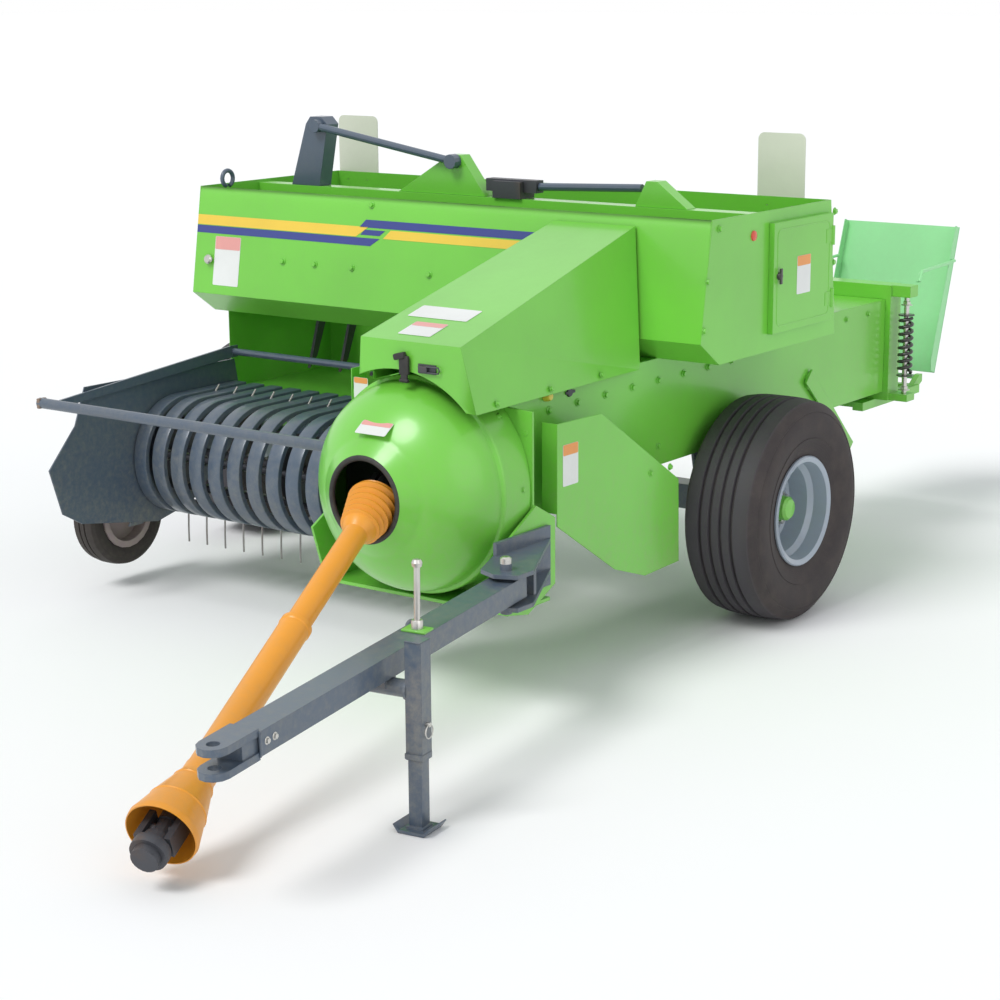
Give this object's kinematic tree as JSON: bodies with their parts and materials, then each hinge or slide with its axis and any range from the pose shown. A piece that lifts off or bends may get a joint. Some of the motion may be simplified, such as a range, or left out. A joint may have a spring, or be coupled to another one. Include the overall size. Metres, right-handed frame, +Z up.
{
  "type": "square baler",
  "caption": "Towed small square hay baler with side pickup, cross feeder box, straight bale chamber, offset drawbar on a jack and guarded drive shaft.",
  "frame": {"origin": "middle of the machine's overall box, on the ground", "axes": "+X to the machine's left, +Y to the rear, away from the tractor, +Z up"},
  "size_m": [2.5546, 4.4612, 1.525],
  "materials": {
    "body_green": "gloss",
    "pale_green": "satin",
    "slate": "satin",
    "guard_orange": "satin",
    "tyre": "matte",
    "rim_paint": "gloss",
    "dark_steel": "satin",
    "spring_black": "satin",
    "tine_steel": "satin",
    "cream_plastic": "translucent"
  },
  "bodies": {
    "frame": {"axle_beam": "slate", "bale_chamber": "body_green", "chamber_rear_frame": "body_green", "chute_arms": "body_green", "drawbar_bracket": "slate", "feeder_box": "body_green", "feeder_bracket": "body_green", "feeder_bridge": "body_green", "feeder_channel": "body_green", "feeder_clamp": "dark_steel", "feeder_crank": "body_green", "feeder_lever": "slate", "feeder_rod_left": "slate", "feeder_rod_right": "slate", "flywheel_cover": "body_green", "front_frame": "body_green", "gearbox": "dark_steel", "knotter": "dark_steel", "marker_plate_left": "cream_plastic", "marker_plate_right": "cream_plastic", "needle_frame": "body_green", "packer_fork": "dark_steel", "side_guard": "body_green", "tension_spring_left": "spring_black", "tension_spring_right": "spring_black"},
    "chute": {"chute_panel": "pale_green"},
    "drawbar": {"drawbar_tube": "slate", "hitch_clevis": "slate", "jack_cross_tube": "slate"},
    "drive_front": {"drive_guard_front": "guard_orange"},
    "drive_shaft": {"drive_guard_rear": "guard_orange", "drive_shaft_rear": "dark_steel"},
    "drive_yoke": {"drive_shaft_front": "dark_steel"},
    "flywheel": {"flywheel": "dark_steel"},
    "gauge_wheel": {"gauge_rim": "rim_paint", "gauge_tyre": "tyre"},
    "pickup": {"gauge_wheel_arm": "slate", "pickup_bands": "slate", "pickup_left_plate": "slate", "pickup_right_plate": "slate"},
    "hood": {"hood": "body_green"},
    "jack": {"jack_leg": "slate", "jack_outer_tube": "slate"},
    "left_wheel": {"left_hub": "body_green", "left_rim": "rim_paint", "left_tyre": "tyre"},
    "right_wheel": {"right_hub": "body_green", "right_rim": "rim_paint", "right_tyre": "tyre"},
    "tine_reel": {"tine_reel": "tine_steel"},
    "twine_door": {"twine_door": "body_green"},
    "wind_guard": {"wind_guard": "slate"}
  },
  "joints": [
    {"name": "left_wheel_spin", "type": "hinge", "parent": "frame", "child": "left_wheel", "pos_m": [0.97866, 0.59157, 0.352], "axis": [1, 0, 0], "continuous": true},
    {"name": "right_wheel_spin", "type": "hinge", "parent": "frame", "child": "right_wheel", "pos_m": [-1.14534, 0.59157, 0.352], "axis": [1, 0, 0], "continuous": true},
    {"name": "flywheel_spin", "type": "hinge", "parent": "frame", "child": "flywheel", "pos_m": [0.59666, -0.64703, 0.62], "axis": [0, 1, 0], "continuous": true},
    {"name": "hood_lift", "type": "hinge", "parent": "frame", "child": "hood", "pos_m": [0.59666, 0.09957, 1.27], "axis": [-1, 0, 0], "range_deg": [0, 55]},
    {"name": "twine_door_open", "type": "hinge", "parent": "frame", "child": "twine_door", "pos_m": [1.04296, 0.81557, 1.09], "axis": [0, 0, 1], "range_deg": [0, 110]},
    {"name": "pickup_lift", "type": "hinge", "parent": "frame", "child": "pickup", "pos_m": [-0.16134, 0.19157, 0.56], "axis": [-1, 0, 0], "range_deg": [-7.5, 15]},
    {"name": "tine_reel_spin", "type": "hinge", "parent": "pickup", "child": "tine_reel", "pos_m": [-0.33334, -0.13843, 0.43], "axis": [1, 0, 0], "continuous": true},
    {"name": "wind_guard_lift", "type": "hinge", "parent": "pickup", "child": "wind_guard", "pos_m": [-0.33334, 0.14157, 0.735], "axis": [-1, 0, 0], "range_deg": [0, 30]},
    {"name": "gauge_wheel_spin", "type": "hinge", "parent": "pickup", "child": "gauge_wheel", "pos_m": [-1.00334, -0.32843, 0.24], "axis": [1, 0, 0], "continuous": true},
    {"name": "drawbar_swing", "type": "hinge", "parent": "frame", "child": "drawbar", "pos_m": [1.03366, -0.90843, 0.432], "axis": [0, 0, -1], "range_deg": [0, 18]},
    {"name": "jack_swing", "type": "hinge", "parent": "drawbar", "child": "jack", "pos_m": [1.11439, -1.53001, 0.34938], "axis": [0.9917, 0.1288, 0], "range_deg": [0, 90]},
    {"name": "drive_shaft_lift", "type": "hinge", "parent": "frame", "child": "drive_shaft", "pos_m": [0.59666, -0.87843, 0.625], "axis": [-0.9608, -0.2773, 0], "range_deg": [0, 21]},
    {"name": "drive_shaft_slide", "type": "slide", "parent": "drive_shaft", "child": "drive_front", "axis": [0.2582, -0.8945, -0.3649], "range_m": [-0.1, 0.1]},
    {"name": "drive_yoke_spin", "type": "hinge", "parent": "drive_front", "child": "drive_yoke", "pos_m": [0.97621, -2.1934, 0.08863], "axis": [-0.2582, 0.8945, 0.3649], "continuous": true},
    {"name": "chute_fold", "type": "hinge", "parent": "frame", "child": "chute", "pos_m": [0.59666, 2.05157, 0.53], "axis": [-1, 0, 0], "range_deg": [0, 75]}
  ]
}
